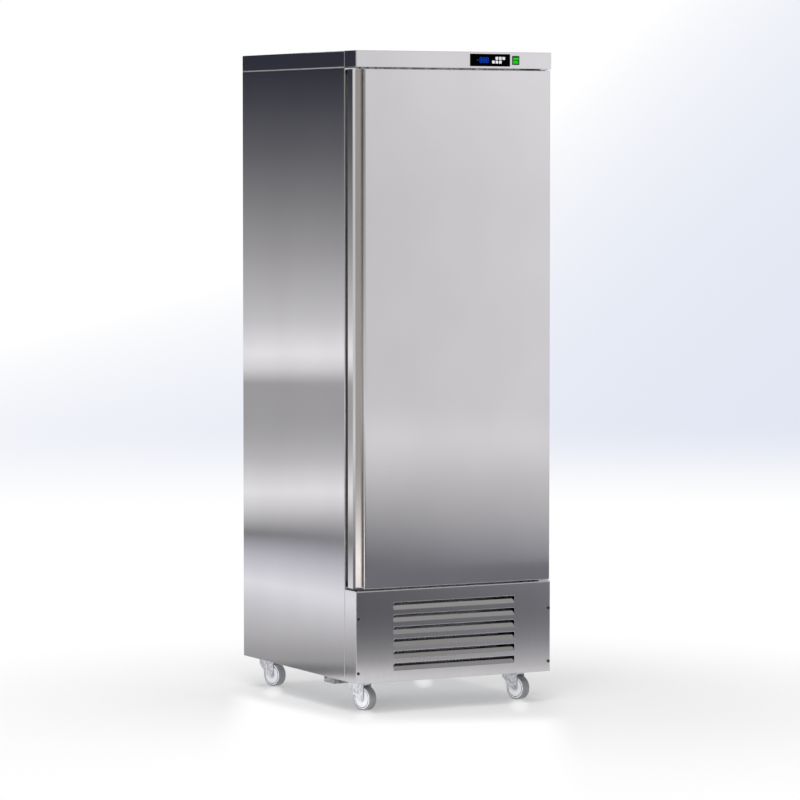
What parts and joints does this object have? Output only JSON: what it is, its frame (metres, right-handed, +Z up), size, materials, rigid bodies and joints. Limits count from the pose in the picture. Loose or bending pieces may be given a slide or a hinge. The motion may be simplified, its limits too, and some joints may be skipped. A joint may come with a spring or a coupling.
{
  "type": "reach-in refrigerator",
  "caption": "Upright stainless reach-in refrigerator with a hinged door, recessed full-height grip, control fascia, louvered grille and swivel casters.",
  "frame": {"origin": "on the floor under the middle of the part's bounding box", "axes": "+X to the right seen from the front, +Y to the back (the door front faces -Y), +Z up"},
  "size_m": [0.69, 0.8106, 2.05],
  "materials": {
    "stainless": "satin",
    "grip_steel": "satin",
    "zinc_steel": "satin",
    "liner_steel": "satin",
    "foam": "matte",
    "grey_plastic": "matte",
    "dark_screw": "satin",
    "black_gloss": "gloss",
    "green_dark": "gloss",
    "green_bright": "gloss",
    "white_plastic": "satin",
    "gasket_rubber": "matte",
    "shelf_coat": "satin",
    "coil_aluminium": "satin",
    "dark_paint": "satin",
    "black_plastic": "matte",
    "copper": "satin",
    "grey_tyre": "matte"
  },
  "bodies": {
    "cabinet": {"left_side_panel": "stainless", "right_side_panel": "stainless", "back_panel": "zinc_steel", "top_cover": "stainless", "control_fascia": "stainless", "front_frame": "zinc_steel", "deck_sheet": "zinc_steel", "base_pan": "zinc_steel", "base_channel": "zinc_steel", "cabinet_foam": "foam", "inner_liner": "liner_steel", "breaker_frame": "grey_plastic", "grille_panel": "stainless", "grille_posts": "zinc_steel", "grille_screws": "dark_screw", "display_panel": "black_gloss", "switch_frame": "green_dark", "hinge_brackets": "zinc_steel", "shelf_rails": "liner_steel", "shelf_clips": "liner_steel", "shelf_1": "shelf_coat", "shelf_2": "shelf_coat", "shelf_3": "shelf_coat", "evaporator_cover": "liner_steel", "evaporator_coil": "coil_aluminium", "evaporator_motor": "dark_paint", "compressor": "dark_paint", "condenser_coil": "coil_aluminium", "condenser_shroud": "dark_paint", "condenser_motor": "dark_paint", "condensate_tray": "grey_plastic", "refrigerant_lines": "copper", "caster_plates": "zinc_steel"},
    "door": {"door_skin": "stainless", "handle_profile": "grip_steel", "door_foam": "foam", "door_liner": "liner_steel", "door_gasket": "gasket_rubber", "hinge_bushes": "white_plastic"},
    "key_1_body": {"key_1": "white_plastic"},
    "key_2_body": {"key_2": "white_plastic"},
    "key_3_body": {"key_3": "white_plastic"},
    "key_4_body": {"key_4": "white_plastic"},
    "key_5_body": {"key_5": "white_plastic"},
    "key_6_body": {"key_6": "white_plastic"},
    "rocker_body": {"rocker": "green_bright"},
    "evaporator_rotor": {"evaporator_fan": "black_plastic"},
    "condenser_rotor": {"condenser_fan": "black_plastic"},
    "caster_front_left": {"fork_front_left": "zinc_steel"},
    "roller_front_left": {"wheel_front_left": "white_plastic", "tyre_front_left": "grey_tyre"},
    "caster_front_right": {"fork_front_right": "zinc_steel"},
    "roller_front_right": {"wheel_front_right": "white_plastic", "tyre_front_right": "grey_tyre"},
    "caster_rear_left": {"fork_rear_left": "zinc_steel"},
    "roller_rear_left": {"wheel_rear_left": "white_plastic", "tyre_rear_left": "grey_tyre"},
    "caster_rear_right": {"fork_rear_right": "zinc_steel"},
    "roller_rear_right": {"wheel_rear_right": "white_plastic", "tyre_rear_right": "grey_tyre"}
  },
  "joints": [
    {"name": "door_swing", "type": "hinge", "parent": "cabinet", "child": "door", "pos_m": [0.326, -0.3727, 1.193], "axis": [0, 0, 1], "range_deg": [0, 120], "stiffness_Nm_per_rad": 2.5, "springref_deg": -28.65},
    {"name": "key_1_press", "type": "slide", "parent": "cabinet", "child": "key_1_body", "axis": [0, 1, 0], "range_m": [0, 0.0008], "stiffness_N_per_m": 400, "springref_m": -0.0004},
    {"name": "key_2_press", "type": "slide", "parent": "cabinet", "child": "key_2_body", "axis": [0, 1, 0], "range_m": [0, 0.0008], "stiffness_N_per_m": 400, "springref_m": -0.0004},
    {"name": "key_3_press", "type": "slide", "parent": "cabinet", "child": "key_3_body", "axis": [0, 1, 0], "range_m": [0, 0.0008], "stiffness_N_per_m": 400, "springref_m": -0.0004},
    {"name": "key_4_press", "type": "slide", "parent": "cabinet", "child": "key_4_body", "axis": [0, 1, 0], "range_m": [0, 0.0008], "stiffness_N_per_m": 400, "springref_m": -0.0004},
    {"name": "key_5_press", "type": "slide", "parent": "cabinet", "child": "key_5_body", "axis": [0, 1, 0], "range_m": [0, 0.0008], "stiffness_N_per_m": 400, "springref_m": -0.0004},
    {"name": "key_6_press", "type": "slide", "parent": "cabinet", "child": "key_6_body", "axis": [0, 1, 0], "range_m": [0, 0.0008], "stiffness_N_per_m": 400, "springref_m": -0.0004},
    {"name": "rocker_tilt", "type": "hinge", "parent": "cabinet", "child": "rocker_body", "pos_m": [0.216, -0.3987, 2.0245], "axis": [1, 0, 0], "range_deg": [-14, 0]},
    {"name": "evaporator_fan_spin", "type": "hinge", "parent": "cabinet", "child": "evaporator_rotor", "pos_m": [0, 0.0653, 1.859], "axis": [0, 1, 0], "continuous": true},
    {"name": "condenser_fan_spin", "type": "hinge", "parent": "cabinet", "child": "condenser_rotor", "pos_m": [0, -0.2442, 0.239], "axis": [0, 1, 0], "continuous": true},
    {"name": "swivel_front_left", "type": "hinge", "parent": "cabinet", "child": "caster_front_left", "pos_m": [-0.274, -0.2807, 0.09], "axis": [0, 0, 1], "continuous": true},
    {"name": "roll_front_left", "type": "hinge", "parent": "caster_front_left", "child": "roller_front_left", "pos_m": [-0.26566, -0.30638, 0.0375], "axis": [0.9511, 0.309, 0], "continuous": true},
    {"name": "swivel_front_right", "type": "hinge", "parent": "cabinet", "child": "caster_front_right", "pos_m": [0.274, -0.2807, 0.09], "axis": [0, 0, 1], "continuous": true},
    {"name": "roll_front_right", "type": "hinge", "parent": "caster_front_right", "child": "roller_front_right", "pos_m": [0.28234, -0.30638, 0.0375], "axis": [0.9511, 0.309, 0], "continuous": true},
    {"name": "swivel_rear_left", "type": "hinge", "parent": "cabinet", "child": "caster_rear_left", "pos_m": [-0.274, 0.3633, 0.09], "axis": [0, 0, 1], "continuous": true},
    {"name": "roll_rear_left", "type": "hinge", "parent": "caster_rear_left", "child": "roller_rear_left", "pos_m": [-0.26566, 0.33762, 0.0375], "axis": [0.9511, 0.309, 0], "continuous": true},
    {"name": "swivel_rear_right", "type": "hinge", "parent": "cabinet", "child": "caster_rear_right", "pos_m": [0.274, 0.3633, 0.09], "axis": [0, 0, 1], "continuous": true},
    {"name": "roll_rear_right", "type": "hinge", "parent": "caster_rear_right", "child": "roller_rear_right", "pos_m": [0.28234, 0.33762, 0.0375], "axis": [0.9511, 0.309, 0], "continuous": true}
  ]
}
